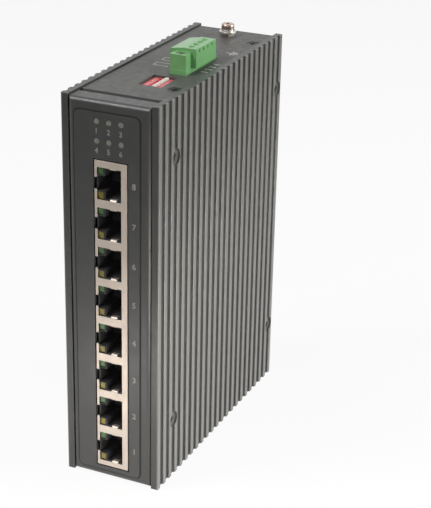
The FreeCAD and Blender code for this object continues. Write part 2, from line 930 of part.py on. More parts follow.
def make_dip_slider(y):
    """White slider at the right-hand end of its slot."""
    middle = dip_x + slider_travel / 2
    slider = block(middle - slider_length / 2, middle + slider_length / 2, y - slider_width / 2,
                   y + slider_width / 2, dip_top() - slot_depth, dip_top() + slider_rise)
    top_edges = edges_along(slider, Y_AXIS, lambda place: place.z > dip_top())
    return slider.makeChamfer(slider_length / 5, top_edges)


# ---- terminal header and plug ----
def pole_half_span():
    """Half of the distance between the outer poles."""
    return (pole_count - 1) * pole_pitch / 2


def flange_screw_places():
    """Y of the two flange screws."""
    distance = pole_half_span() + plug_end_margin + flange_length / 2
    return [terminal_y - distance, terminal_y + distance]


def make_terminal_header():
    """Shrouded header on the small board, standing through the top."""
    half_width = header_width / 2
    half_cavity = pole_half_span() + cavity_end_margin
    body = block(terminal_x - half_width, terminal_x + half_width, terminal_y - header_half_length(),
                 terminal_y + header_half_length(), io_board_top, header_top)
    tools = [block(terminal_x - half_width + header_wall, terminal_x + half_width - header_wall,
                   terminal_y - half_cavity, terminal_y + half_cavity,
                   io_board_top + header_floor, header_top + header_floor)]
    half_pin = pin_size / 2 + pin_gap / 5
    for y in pole_places:
        tools.append(block(terminal_x - half_pin, terminal_x + half_pin, y - half_pin, y + half_pin,
                           io_board_top - header_floor, io_board_top + 2 * header_floor))
    for y in flange_screw_places():
        tools.append(hexagon(nut_radius + socket_gap, V(terminal_x, y, header_top - nut_height),
                             2 * nut_height))
        tools.append(rod(flange_screw_shank_radius + flange_bore_gap,
                         V(terminal_x, y, io_board_top + header_floor), Z_AXIS, header_height))
    return cut(body, tools)


def make_header_pins():
    """Square pins from under the small board up into the header."""
    half = pin_size / 2
    low = io_board_bottom - pin_tail
    high = header_top - pin_top_margin
    pins = []
    for y in pole_places:
        pin = block(terminal_x - half, terminal_x + half, y - half, y + half, low, high)
        pins.append(pin.makeChamfer(pin_size / 4, [edge for edge in pin.Edges
                                                   if abs(edge.CenterOfMass.z - high) < pin_gap]))
    return group(pins)


def make_header_nuts():
    """Tapped inserts in the header's flanges."""
    nuts = []
    for y in flange_screw_places():
        start = V(terminal_x, y, header_top - nut_height)
        bore = rod(flange_screw_shank_radius + socket_gap, start, Z_AXIS, nut_height)
        nuts.append(hexagon(nut_radius, start, nut_height).cut(bore))
    return group(nuts)


def plug_profile():
    """Plug body's end outline: square on the wire side, sloped above the clamp screws."""
    y = terminal_y - pole_half_span() - plug_end_margin
    top = header_top + plug_height
    return [V(plug_left, y, header_top), V(plug_left, y, header_top + plug_shoulder),
            V(plug_left + plug_slope_run, y, top), V(plug_right, y, top), V(plug_right, y, header_top)]


def make_terminal_plug():
    """Plug with wire wells on top, clamp screw holes on its left and a screw flange at each end."""
    length = 2 * (pole_half_span() + plug_end_margin)
    body = prism(plug_profile(), V(0, length, 0))
    tongue_half_x = header_width / 2 - header_wall - tongue_gap
    tongue_half_y = pole_half_span() + cavity_end_margin - tongue_gap
    tongue = block(terminal_x - tongue_half_x, terminal_x + tongue_half_x,
                   terminal_y - tongue_half_y, terminal_y + tongue_half_y,
                   header_top - tongue_depth, header_top + tongue_gap)
    flange_half = pole_half_span() + plug_end_margin + flange_length
    flanges = block(terminal_x - flange_width / 2, terminal_x + flange_width / 2,
                    terminal_y - flange_half, terminal_y + flange_half,
                    header_top, header_top + flange_height)
    flange_edges = edges_along(flanges, Z_AXIS, lambda middle: True)
    flanges = flanges.makeFillet(flange_inset, flange_edges)
    tools = []
    socket_half = socket_outer / 2 + socket_gap
    well_floor = header_top + socket_rise
    for y in pole_places:
        tools.append(block(terminal_x - socket_half, terminal_x + socket_half,
                           y - socket_half, y + socket_half,
                           header_top - 2 * tongue_depth, well_floor))
        tools.append(block(terminal_x - well_depth_x / 2, terminal_x + well_depth_x / 2,
                           y - well_width / 2, y + well_width / 2,
                           well_floor, header_top + 2 * plug_height))
        tools.append(rod(clamp_hole_radius, V(plug_left - overshoot, y, header_top + clamp_axis_height),
                         X_AXIS, terminal_x - plug_left))
        slot_top = header_top + plug_height - test_slot_margin
        tools.append(block(plug_right - test_slot_depth, plug_right + test_slot_depth,
                           y - test_slot_width / 2, y + test_slot_width / 2,
                           slot_top - test_slot_height, slot_top))
    for y in flange_screw_places():
        seat = header_top + flange_height - flange_counterbore_depth
        tools.append(rod(flange_screw_head_radius + flange_bore_gap, V(terminal_x, y, seat), Z_AXIS,
                         2 * flange_counterbore_depth))
        tools.append(rod(flange_screw_shank_radius + flange_bore_gap,
                         V(terminal_x, y, header_top - overshoot), Z_AXIS, flange_height))
    return cut(fuse([body, tongue, flanges]), tools)


def make_wire_clamps():
    """Pin socket with a clamp cage on top, one per pole."""
    clamps = []
    half_socket = socket_outer / 2
    half_pin = pin_size / 2 + pin_gap
    well_floor = header_top + socket_rise
    for y in pole_places:
        half_x = well_depth_x / 2 - socket_gap
        half_y = well_width / 2 - socket_gap
        socket = block(terminal_x - half_socket, terminal_x + half_socket,
                       y - half_socket, y + half_socket,
                       header_top - tongue_depth + tongue_gap, well_floor + cage_wall)
        cage = block(terminal_x - half_x, terminal_x + half_x, y - half_y, y + half_y,
                     well_floor, well_floor + cage_height)
        room = block(terminal_x - half_x + cage_wall, terminal_x + half_x - cage_wall,
                     y - half_y + cage_wall, y + half_y - cage_wall,
                     well_floor + cage_wall, well_floor + 2 * cage_height)
        bore = block(terminal_x - half_pin, terminal_x + half_pin, y - half_pin, y + half_pin,
                     header_top - 2 * tongue_depth, header_top)
        thread = rod(clamp_shank_radius + socket_gap, V(plug_left, y, header_top + clamp_axis_height),
                     X_AXIS, terminal_x - plug_left)
        clamps.append(cut(fuse([socket, cage]), [room, bore, thread]))
    return group(clamps)


def make_clamp_screws():
    """Slotted screws that press on the wires from the left."""
    screws = []
    for y in pole_places:
        start = V(plug_left + socket_gap, y, header_top + clamp_axis_height)
        head = rod(clamp_head_radius, start, X_AXIS, clamp_head_length)
        shank = rod(clamp_shank_radius, start, X_AXIS, terminal_x - plug_left - 2 * cage_wall)
        slot = block(plug_left, plug_left + clamp_head_length / 2,
                     y - clamp_head_radius, y + clamp_head_radius,
                     start.z - cage_wall / 2, start.z + cage_wall / 2)
        screws.append(cut(fuse([head, shank]), [slot]))
    return group(screws)


def make_flange_screws():
    """Captive slotted screws from the plug's flanges into the header's inserts."""
    screws = []
    seat = header_top + flange_height - flange_counterbore_depth
    top = seat + flange_screw_head_height
    for y in flange_screw_places():
        head = rod(flange_screw_head_radius, V(terminal_x, y, seat), Z_AXIS, flange_screw_head_height)
        shank = rod(flange_screw_shank_radius, V(terminal_x, y, top - flange_screw_length), Z_AXIS,
                    flange_screw_length)
        slot = block(terminal_x - recess_slot / 2, terminal_x + recess_slot / 2,
                     y - nut_radius, y + nut_radius, top - recess_depth, top + recess_depth)
        screws.append(cut(fuse([head, shank]), [slot]))
    return group(screws)


# ---- earth screw ----
def earth_levels():
    """Heights of the flat washer's, the spring washer's and the head's undersides."""
    flat = cover_top + insert_collar_height
    spring = flat + earth_washer_thickness
    return flat, spring, spring + earth_spring_thickness


def washer(radius, low, high):
    """Ring around the earth screw's shank."""
    start = V(earth_x, earth_y, low)
    bore = rod(earth_shank_radius + washer_gap, start, Z_AXIS, high - low)
    return rod(radius, start, Z_AXIS, high - low).cut(bore)


def make_earth_washer():
    """Flat washer that clamps the lug against the insert's collar."""
    flat, spring, head = earth_levels()
    return washer(earth_washer_radius, flat, spring)


def make_earth_spring_washer():
    """Split spring washer under the head."""
    flat, spring, head = earth_levels()
    ring = washer(earth_spring_radius, spring, head)
    gap = block(earth_x, earth_x + 2 * earth_spring_radius, earth_y - earth_spring_split / 2,
                earth_y + earth_spring_split / 2, spring, head)
    return ring.cut(gap)


def make_earth_screw():
    """Crowned pan head screw, turned as one profile, with a cross recess."""
    flat, spring, head = earth_levels()
    tail = cover_top - earth_tail
    top = head + earth_head_height
    side_top = top - earth_head_crown
    crown_edge = earth_head_radius - earth_head_crown
    half_turn = earth_head_crown * math.sqrt(0.5)
    edges = [
        Part.makeLine(V(0, 0, top), V(0, 0, tail)),
        Part.makeLine(V(0, 0, tail), V(earth_shank_radius, 0, tail)),
        Part.makeLine(V(earth_shank_radius, 0, tail), V(earth_shank_radius, 0, head)),
        Part.makeLine(V(earth_shank_radius, 0, head), V(earth_head_radius, 0, head)),
        Part.makeLine(V(earth_head_radius, 0, head), V(earth_head_radius, 0, side_top)),
        Part.Arc(V(earth_head_radius, 0, side_top), V(crown_edge + half_turn, 0, side_top + half_turn),
                 V(crown_edge, 0, top)).toShape(),
        Part.makeLine(V(crown_edge, 0, top), V(0, 0, top)),
    ]
    screw = Part.Face(Part.Wire(edges)).revolve(V(0, 0, 0), Z_AXIS, 360)
    recess = cross_recess(earth_recess_arm, recess_slot, 2 * recess_depth).translated(V(0, 0, top))
    return cut(screw, [recess]).translated(V(earth_x, earth_y, 0))


def make_earth_insert():
    """Riveted insert: a hexagonal collar on the top, a barrel through it and a flared foot below."""
    low = cover_under - insert_height
    foot = rod(insert_radius, V(earth_x, earth_y, low), Z_AXIS, insert_height)
    barrel = rod(insert_barrel_radius, V(earth_x, earth_y, low), Z_AXIS, insert_height + sheet)
    collar = hexagon(insert_collar_radius, V(earth_x, earth_y, cover_top), insert_collar_height)
    bore = rod(earth_shank_radius + csk_gap, V(earth_x, earth_y, low), Z_AXIS,
               insert_height + sheet + insert_collar_height)
    return cut(fuse([foot, barrel, collar]), [bore])


# ---- rail clip ----
def rail_top():
    """Upper edge of the rail that the clip takes."""
    return rail_centre_z + rail_height / 2


def rail_bottom():
    """Lower edge of the rail that the clip takes."""
    return rail_centre_z - rail_height / 2


def make_clip_plate():
    """Back plate with a full-width hook above the rail and two guides for the foot below it."""
    half = clip_width / 2
    shelf = rail_top() + rail_slack
    lip_front = clip_back + hook_gap
    lip_back = lip_front + hook_wall
    plate = block(-half, half, case_depth, clip_back, clip_bottom, clip_top)
    hook_profile = [(case_depth, shelf + hook_shelf), (lip_back - hook_wall / 2, shelf + hook_shelf),
                    (lip_back, shelf + hook_shelf / 2), (lip_back, shelf - hook_reach),
                    (lip_front, shelf - hook_reach), (lip_front, shelf), (case_depth, shelf)]
    hook = prism([V(-half, y, z) for y, z in hook_profile], V(clip_width, 0, 0))
    guide_inner = foot_width / 2 + foot_gap
    wall = block(guide_inner, guide_inner + guide_wall, case_depth, guide_back, guide_bottom, guide_top)
    cap = block(guide_inner - guide_lip, guide_inner + guide_wall, guide_back - guide_cap, guide_back,
                guide_bottom, guide_top)
    tab_half = spring_window_width / 2 - foot_gap
    tab = block(-tab_half, tab_half, case_depth, foot_back - foot_gap, tab_z, tab_z + tab_thickness)
    body = fuse([plate, hook, wall, cap, mirrored(wall), mirrored(cap), tab])
    holes = [placed(countersink(2 * clip_plate), Y_AXIS, V(x, clip_back, z))
             for x, z in clip_screw_places()]
    return cut(body, holes)


def make_clip_screws():
    """Three flat head screws from the clip into the cover's back."""
    screw = countersunk_screw(clip_screw_length)
    return group([placed(screw, Y_AXIS, V(x, clip_back, z)) for x, z in clip_screw_places()])


def spring_ends():
    """Lower and upper seats of the foot's spring."""
    low = tab_z + tab_thickness
    return low, low + spring_room


def make_rail_foot():
    """Sliding foot: a jaw behind the rail's lower edge, a spring window and a slot to pull it by."""
    half = foot_width / 2
    jaw_front = clip_back + jaw_gap
    shelf = rail_bottom() - rail_slack
    jaw_top = shelf + jaw_reach
    profile = [(foot_front, foot_bottom), (foot_back, foot_bottom), (foot_back, jaw_top - jaw_bevel),
               (foot_back - jaw_bevel, jaw_top), (jaw_front, jaw_top), (jaw_front, shelf),
               (foot_front, shelf)]
    foot = prism([V(-half, y, z) for y, z in profile], V(foot_width, 0, 0))
    foot = foot.makeFillet(foot_thickness / 2,
                           edges_along(foot, Y_AXIS, lambda middle: middle.z < foot_bottom + foot_gap))
    low, high = spring_ends()
    window = block(-spring_window_width / 2, spring_window_width / 2,
                   foot_front - overshoot, foot_back + overshoot, tab_z - foot_gap, high)
    pull = block(-pull_slot_width / 2, pull_slot_width / 2,
                 foot_front - overshoot, foot_back + overshoot,
                 pull_slot_z, pull_slot_z + pull_slot_height)
    return cut(foot, [window, pull])


def make_foot_spring():
    """Compression spring between the plate's tab and the top of the foot's window."""
    low, high = spring_ends()
    start = low + spring_wire_radius
    rise = high - low - 2 * spring_wire_radius
    middle_y = foot_front + foot_thickness / 2
    helix = Part.makeHelix(rise / spring_turns, rise, spring_radius)
    angles = [math.radians(360 * (index + 0.5) / spring_wire_sides) for index in range(spring_wire_sides)]
    corners = [V(spring_radius + spring_wire_radius * math.cos(angle), 0,
                 spring_wire_radius * math.sin(angle)) for angle in angles]
    section = Part.makePolygon(corners + [corners[0]])
    coil = Part.Wire(helix.Edges).makePipeShell([section], True, True)
    return coil.translated(V(0, middle_y, start))


# ---- output ----
def save(name, shape):
    """Write one node, moved so that the middle of the depth is at Y = 0."""
    shape.translated(V(0, -origin_y, 0)).exportStep("parts/" + name + ".step")


def build():
    """Every node of the switch by name."""
    right_shell = make_side_shell()
    right_screws = make_side_screws()
    nodes = {
        "right_side_shell": right_shell,
        "left_side_shell": mirrored(right_shell),
        "side_screws_right": right_screws,
        "side_screws_left": mirrored(right_screws),
        "front_panel": make_front_panel(),
        "front_label": make_front_label(),
        "cover": make_cover(),
        "top_screws": make_top_screws(),
        "jack_shield": make_jack_shield(),
        "jack_housing": make_jack_housing(),
        "jack_contacts": make_jack_contacts(),
        "jack_leds_green": make_jack_leds(1),
        "jack_leds_yellow": make_jack_leds(-1),
        "status_light_pipe": make_status_light_pipe(),
        "status_leds": make_status_leds(),
        "led_board": make_led_board(),
        "main_board": make_main_board(),
        "main_board_posts": make_main_board_posts(),
        "main_board_screws": make_main_board_screws(),
        "io_board": make_io_board(),
        "io_board_posts": make_io_board_posts(),
        "io_board_screws": make_io_board_screws(),
        "board_link": make_board_link(),
        "switch_chip": make_switch_chip(),
        "heat_spreader": make_heat_spreader(),
        "thermal_pad": make_thermal_pad(),
        "port_magnetics": make_port_magnetics(),
        "capacitors": make_capacitors(),
        "dip_body": make_dip_body(),
        "terminal_header": make_terminal_header(),
        "header_pins": make_header_pins(),
        "header_nuts": make_header_nuts(),
        "terminal_plug": make_terminal_plug(),
        "wire_clamps": make_wire_clamps(),
        "clamp_screws": make_clamp_screws(),
        "flange_screws": make_flange_screws(),
        "earth_screw": make_earth_screw(),
        "earth_spring_washer": make_earth_spring_washer(),
        "earth_washer": make_earth_washer(),
        "earth_insert": make_earth_insert(),
        "clip_plate": make_clip_plate(),
        "clip_screws": make_clip_screws(),
        "rail_foot": make_rail_foot(),
        "foot_spring": make_foot_spring(),
    }
    for index, y in enumerate(dip_places):
        nodes["dip_slider_" + str(index + 1)] = make_dip_slider(y)
    return nodes


os.makedirs("parts", exist_ok=True)
for node_name, node_shape in build().items():
    save(node_name, node_shape)
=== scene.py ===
import json
import math

import bmesh
import bpy
from mathutils import Euler, Matrix, Vector


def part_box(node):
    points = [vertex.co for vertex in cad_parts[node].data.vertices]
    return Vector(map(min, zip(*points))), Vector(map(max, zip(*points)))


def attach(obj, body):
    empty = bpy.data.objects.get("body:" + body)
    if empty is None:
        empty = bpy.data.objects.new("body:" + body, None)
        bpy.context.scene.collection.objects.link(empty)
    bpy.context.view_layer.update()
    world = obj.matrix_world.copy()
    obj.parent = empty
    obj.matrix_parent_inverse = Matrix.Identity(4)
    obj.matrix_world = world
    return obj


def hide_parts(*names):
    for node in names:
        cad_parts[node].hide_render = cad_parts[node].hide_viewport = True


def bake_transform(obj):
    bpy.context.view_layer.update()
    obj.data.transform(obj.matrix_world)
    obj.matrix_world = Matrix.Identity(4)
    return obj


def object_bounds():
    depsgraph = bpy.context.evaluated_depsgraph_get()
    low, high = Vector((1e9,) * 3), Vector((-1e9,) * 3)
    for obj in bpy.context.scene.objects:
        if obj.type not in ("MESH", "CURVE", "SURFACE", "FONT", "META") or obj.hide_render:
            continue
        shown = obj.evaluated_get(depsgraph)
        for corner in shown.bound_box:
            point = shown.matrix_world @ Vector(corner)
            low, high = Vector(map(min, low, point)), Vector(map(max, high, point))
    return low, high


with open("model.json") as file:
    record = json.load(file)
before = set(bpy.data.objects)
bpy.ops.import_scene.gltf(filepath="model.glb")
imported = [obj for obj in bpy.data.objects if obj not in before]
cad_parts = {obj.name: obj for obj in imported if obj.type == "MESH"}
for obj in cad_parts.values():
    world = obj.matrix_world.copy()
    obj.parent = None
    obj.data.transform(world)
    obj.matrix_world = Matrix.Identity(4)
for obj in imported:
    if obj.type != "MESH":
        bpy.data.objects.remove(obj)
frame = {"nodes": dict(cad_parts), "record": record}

# DIN rail ethernet switch. Metres; X to the right, Y towards the rail, Z up, as in the CAD model.

MM = 0.001
cad_low, cad_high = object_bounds()

# ---- camera ----
CAMERA_OFFSET = Vector((0.2501, -0.4583, 0.3247))   # from the foot of the front panel's face
CAMERA_ANGLES = (66.36, -1.13, 24.85)
CAMERA_LENS = 125.1
CAMERA_SENSOR = 36.0
CAMERA_SHIFT = (0.0077, 0.0190)

# ---- colours, linear ----
SHELL_GREY = (0.078, 0.078, 0.074)
# paler rib crests: partly their own tone, partly painted light standing in for the shade that falls in the
# grooves
CREST_TONE_AND_LIGHT = (0.215, 0.215, 0.207)
SHELL_WORN = (0.330, 0.322, 0.312)
PANEL_GREY = (0.066, 0.066, 0.065)
PANEL_WORN = (0.085, 0.083, 0.080)
FILM_GREY = (0.065, 0.065, 0.064)
COVER_GREY = (0.080, 0.080, 0.075)
PRINT_GREY = (0.245, 0.240, 0.228)
PRINT_PALE = (0.720, 0.710, 0.690)
# colour of the painted shadow line around the film's edge
FILM_SHADOW_DARK = (0.017, 0.017, 0.017)
TIN = (0.630, 0.550, 0.475)
GOLD = (0.800, 0.560, 0.200)
BLACK_PLASTIC = (0.015, 0.015, 0.015)
SOCKET_BLACK = (0.032, 0.032, 0.034)
LENS_GREY = (0.210, 0.205, 0.185)
LENS_GREEN = (0.090, 0.190, 0.070)
LENS_YELLOW = (0.270, 0.220, 0.045)
BOARD_GREEN = (0.010, 0.070, 0.025)
BLACK_STEEL = (0.012, 0.012, 0.012)
STEEL_WORN = (0.045, 0.045, 0.043)
SCREW_GREY = (0.130, 0.130, 0.125)
ZINC = (0.520, 0.510, 0.490)
NICKEL = (0.700, 0.670, 0.630)
SCREW_NICKEL = (0.540, 0.420, 0.360)
BRASS = (0.330, 0.290, 0.240)
DIP_RED = (0.840, 0.135, 0.155)
DIP_WHITE = (0.800, 0.760, 0.680)
TERMINAL_GREEN = (0.175, 0.430, 0.160)
PAD_GREY = (0.200, 0.240, 0.300)
RAW_ALUMINIUM = (0.560, 0.560, 0.560)
FLOOR_WHITE = (0.900, 0.900, 0.900)
FLOOR_GLOW = 0.91

# ---- stage ----
SHEET_LEFT = -1.5
SHEET_RIGHT = 0.135
SHEET_FRONT = -0.25
SHEET_BACK = 4.0
ROOM_DIM = (0.15, 0.15, 0.15)
ROOM_STRENGTH = 0.05
ROOM_DEPTHS = (-0.7, 0.3)   # direction's Y between which the room turns white
HORIZON = (-0.05, 0.05)     # the same for its Z
WHITE = (1.0, 1.0, 1.0)
WARM = (1.0, 0.94, 0.89)
LAMPS = (                   # name, place, target, size, power, colour
    ("right", (0.75, 0.25, 0.35), (0.0, 0.0, 0.07), 0.6, 6.5, WHITE),
    ("low_right", (0.16, -0.12, 0.005), (0.02, -0.02, 0.0), 0.1, 0.31, WARM),
    ("above", (-0.38, -0.45, 0.84), (0.0, -0.05, 0.15), 0.4, 5.8, WHITE),
    ("front", (0.28, -0.80, 0.42), (0.0, 0.0, 0.09), 0.4, 1.2, WHITE),
    ("low_front", (-0.01, -0.127, 0.006), (0.0, -0.062, 0.0), 0.07, 0.031, WARM),
)


# ---- finish ----
NOISE_ROUGHNESS = 0.55
MIX_FACTOR = 0
MIX_COLOURS = (6, 7)
MIX_RESULT = 2
BEVEL_SAMPLES = 6
BEVEL_FLAT = 0.995      # cosine between the bevelled and the true normal, on a flat face
BEVEL_SHARP = 0.80      # the same on a sharp edge
WEAR_SIZE = 1.5 * MM
WEAR_RANGE = (0.38, 0.60)
WEAR_LEAST = 0.25       # wear left on the least worn edges
SHADE = 0.82
TINT = 1.14
GLOSS_SPREAD = 0.08
GLOSS_RANGE = (0.3, 0.7)


# ---- node helpers ----
def new_node(tree, kind, **inputs):
    """Adds a node and sets its input sockets by name."""
    node = tree.nodes.new(kind)
    for name, value in inputs.items():
        node.inputs[name.replace("_", " ")].default_value = value
    return node


def noise(tree, size, detail=3.0, stretch=(1.0, 1.0, 1.0)):
    """Noise whose lumps are about size metres, drawn out where stretch is below 1."""
    coords = tree.nodes.new("ShaderNodeTexCoord")
    mapping = new_node(tree, "ShaderNodeMapping", Scale=stretch)
    texture = new_node(tree, "ShaderNodeTexNoise", Scale=1.0 / size, Detail=detail,
                       Roughness=NOISE_ROUGHNESS)
    tree.links.new(coords.outputs["Object"], mapping.inputs["Vector"])
    tree.links.new(mapping.outputs["Vector"], texture.inputs["Vector"])
    return texture.outputs["Fac"]


def remap(tree, value, low, high, to_low, to_high):
    """Maps one range of a value onto another, clamped."""
    node = tree.nodes.new("ShaderNodeMapRange")
    for socket, number in zip(("From Min", "From Max", "To Min", "To Max"), (low, high, to_low, to_high)):
        node.inputs[socket].default_value = number
    tree.links.new(value, node.inputs["Value"])
    return node.outputs["Result"]


def mix_colours(tree, factor, first, second):
    """Mixes two colours, either of which may be a socket."""
    node = tree.nodes.new("ShaderNodeMix")
    node.data_type = "RGBA"
    tree.links.new(factor, node.inputs[MIX_FACTOR])
    for index, colour in zip(MIX_COLOURS, (first, second)):
        socket = node.inputs[index]
        if isinstance(colour, tuple):
            socket.default_value = (*colour, 1.0)
        else:
            tree.links.new(colour, socket)
    return node.outputs[MIX_RESULT]


def any_of(tree, *tests):
    """1 where any test is 1."""
    result = tests[0]
    for test in tests[1:]:
        node = tree.nodes.new("ShaderNodeMath")
        node.operation = "MAXIMUM"
        tree.links.new(result, node.inputs[0])
        tree.links.new(test, node.inputs[1])
        result = node.outputs["Value"]
    return result


def edge_mask(tree, radius):
    """Near 1 on sharp edges, broken up by noise, and the normal that rounds those edges."""
    bevel = tree.nodes.new("ShaderNodeBevel")
    bevel.samples = BEVEL_SAMPLES
    bevel.inputs["Radius"].default_value = radius
    geometry = tree.nodes.new("ShaderNodeNewGeometry")
    dot = tree.nodes.new("ShaderNodeVectorMath")
    dot.operation = "DOT_PRODUCT"
    tree.links.new(bevel.outputs["Normal"], dot.inputs[0])
    tree.links.new(geometry.outputs["Normal"], dot.inputs[1])
    sharp = remap(tree, dot.outputs["Value"], BEVEL_FLAT, BEVEL_SHARP, 0.0, 1.0)
    patches = remap(tree, noise(tree, WEAR_SIZE, 5.0), *WEAR_RANGE, WEAR_LEAST, 1.0)
    product = tree.nodes.new("ShaderNodeMath")
    product.operation = "MULTIPLY"
    tree.links.new(sharp, product.inputs[0])
    tree.links.new(patches, product.inputs[1])
    return product.outputs["Value"], bevel.outputs["Normal"]


def crest_mask(tree, low, high):
    """0 up to one distance from the middle plane and 1 from the other, where the rib crests are painted
    paler: partly their own tone, partly painted light for the lit crests against the shade that falls in the
    grooves.
    """
    coords = tree.nodes.new("ShaderNodeTexCoord")
    axes = tree.nodes.new("ShaderNodeSeparateXYZ")
    tree.links.new(coords.outputs["Object"], axes.inputs["Vector"])
    outward = tree.nodes.new("ShaderNodeMath")
    outward.operation = "ABSOLUTE"
    tree.links.new(axes.outputs["X"], outward.inputs[0])
    return remap(tree, outward.outputs["Value"], low, high, 0.0, 1.0)


def shade(colour):
    """A little darker than a colour."""
    return tuple(SHADE * part for part in colour)


def tint(colour):
    """A little lighter than a colour."""
    return tuple(min(1.0, TINT * part) for part in colour)


def surface(name, colour, roughness, metallic=0.0, patch=8 * MM, grain=0.3 * MM, depth=0.01 * MM,
            stretch=(1.0, 1.0, 1.0), worn=None, edge=0.12 * MM, specular=0.5, coat=0.0, crests=None):
    """Procedural surface: mottled colour, uneven gloss, fine grain as bump, and worn, softened edges."""
    material = bpy.data.materials.new(name)
    material.use_nodes = True
    material.diffuse_color = (*colour, 1.0)
    tree = material.node_tree
    shader = tree.nodes["Principled BSDF"]
    shader.inputs["Metallic"].default_value = metallic
    shader.inputs["Specular IOR Level"].default_value = specular
    shader.inputs["Coat Weight"].default_value = coat
    mottled = mix_colours(tree, noise(tree, patch, 4.0), shade(colour), tint(colour))
    # rib crests painted paler: partly the crests' own tone, partly painted light standing in for the shade
    # that falls in the grooves
    if crests:
        crest_tone_and_light_colour, low, high = crests
        mottled = mix_colours(tree, crest_mask(tree, low, high), mottled, crest_tone_and_light_colour)
    mask, rounded = edge_mask(tree, edge)
    finished = mix_colours(tree, mask, mottled, worn if worn else tint(colour))
    tree.links.new(finished, shader.inputs["Base Color"])
    gloss = remap(tree, noise(tree, patch / 3, 4.0), *GLOSS_RANGE,
                  roughness - GLOSS_SPREAD, roughness + GLOSS_SPREAD)
    tree.links.new(gloss, shader.inputs["Roughness"])
    bump = tree.nodes.new("ShaderNodeBump")
    bump.inputs["Distance"].default_value = depth
    bump.inputs["Strength"].default_value = 1.0
    tree.links.new(noise(tree, grain, 2.0, stretch), bump.inputs["Height"])
    tree.links.new(rounded, bump.inputs["Normal"])
    tree.links.new(bump.outputs["Normal"], shader.inputs["Normal"])
    return material


# ---- materials by the record's slot ----
ALONG_Z = (1.0, 1.0, 0.03)
CREST_START = 0.75 * MM     # depths under the case's widest point between which the crests are painted paler: partly their own tone, partly painted light for the shade in the grooves
CREST_END = 0.1 * MM
MATERIALS = {
    # the extrusion's rib crests painted paler, partly painted light for the shaded grooves
    "ribbed_aluminium": surface("anodised_extrusion", SHELL_GREY, 0.38, metallic=0.35, stretch=ALONG_Z,
                                grain=0.25 * MM, depth=0.02 * MM, worn=SHELL_WORN, edge=0.15 * MM,
                                crests=(CREST_TONE_AND_LIGHT, cad_high[0] - CREST_START, cad_high[0] - CREST_END)),
    "panel_paint": surface("panel_paint", PANEL_GREY, 0.38, metallic=0.2, worn=PANEL_WORN, grain=0.35 * MM,
                           depth=0.012 * MM, edge=0.25 * MM),
    "cover_paint": surface("cover_paint", COVER_GREY, 0.5, worn=PANEL_WORN, grain=0.35 * MM,
                           depth=0.015 * MM, edge=0.2 * MM),
    "printed_film": surface("printed_film", FILM_GREY, 0.38, metallic=0.2, grain=0.2 * MM, depth=0.006 * MM,
                            worn=PANEL_WORN, edge=0.15 * MM),
    "tinned_sheet": surface("tinned_sheet", TIN, 0.50, metallic=0.75, stretch=(1.0, 1.0, 0.2),
                            depth=0.006 * MM),
    "black_moulding": surface("black_moulding", SOCKET_BLACK, 0.6, depth=0.008 * MM, specular=0.3),
    "contact_gold": surface("contact_gold", GOLD, 0.25, metallic=1.0, patch=2 * MM, depth=0.002 * MM),
    "green_lens": surface("green_lens", LENS_GREEN, 0.3, patch=2 * MM, depth=0.004 * MM),
    "yellow_lens": surface("yellow_lens", LENS_YELLOW, 0.3, patch=2 * MM, depth=0.004 * MM),
    "grey_lens": surface("grey_lens", LENS_GREY, 0.35, patch=1.5 * MM, depth=0.006 * MM),
    "board_green": surface("board_green", BOARD_GREEN, 0.35, depth=0.01 * MM, coat=0.3),
    "brass_plated": surface("brass_plated", BRASS, 0.42, metallic=0.8, patch=2 * MM),
    "black_screw": surface("black_screw", BLACK_STEEL, 0.38, metallic=0.3, patch=1.5 * MM, worn=STEEL_WORN),
    "bright_screw": surface("bright_screw", ZINC, 0.3, metallic=0.9, patch=1.5 * MM),
    "nickel": surface("nickel", NICKEL, 0.35, metallic=0.9, patch=2 * MM, depth=0.004 * MM, edge=0.2 * MM),
    "chip_black": surface("chip_black", BLACK_PLASTIC, 0.6),
    "bare_aluminium": surface("bare_aluminium", RAW_ALUMINIUM, 0.35, metallic=1.0, stretch=(1.0, 0.05, 1.0)),
    "pad_grey": surface("pad_grey", PAD_GREY, 0.8),
    "dip_red": surface("dip_red", DIP_RED, 0.35, patch=3 * MM, depth=0.006 * MM, coat=0.2),
    "dip_white": surface("dip_white", DIP_WHITE, 0.4, patch=1.5 * MM, depth=0.004 * MM),
    "terminal_green": surface("terminal_green", TERMINAL_GREEN, 0.42, patch=5 * MM, grain=0.25 * MM,
                              depth=0.008 * MM, edge=0.2 * MM, coat=0.5),
    "clip_steel": surface("clip_steel", ZINC, 0.35, metallic=0.9, stretch=(1.0, 1.0, 0.1)),
    "foot_black": surface("foot_black", BLACK_PLASTIC, 0.45, depth=0.015 * MM, edge=0.2 * MM),
    "spring_steel": surface("spring_steel", ZINC, 0.28, metallic=1.0, patch=2 * MM),
}
GREY_SCREW = surface("grey_screw", SCREW_GREY, 0.38, metallic=0.35, patch=1.5 * MM, worn=SHELL_WORN)
EARTH_SCREW = surface("earth_screw", SCREW_NICKEL, 0.3, metallic=1.0, patch=2 * MM, depth=0.004 * MM,
                      edge=0.2 * MM)
OWN_FINISH = {"side_screws_right": GREY_SCREW, "side_screws_left": GREY_SCREW, "earth_screw": EARTH_SCREW}


def dress_nodes():
    """Gives every CAD node its own finish or else the material of its slot."""
    for part in frame["record"]["subparts"]:
        node = frame["nodes"][part["node"]]
        node.data.materials.clear()
        node.data.materials.append(OWN_FINISH.get(part["node"], MATERIALS[part["material_slot"]]))


def add_piece(name, shape):
    """Object with a finished shape as its mesh."""
    mesh = bpy.data.meshes.new(name)
    shape.to_mesh(mesh)
    shape.free()
    piece = bpy.data.objects.new(name, mesh)
    bpy.context.scene.collection.objects.link(piece)
    return piece


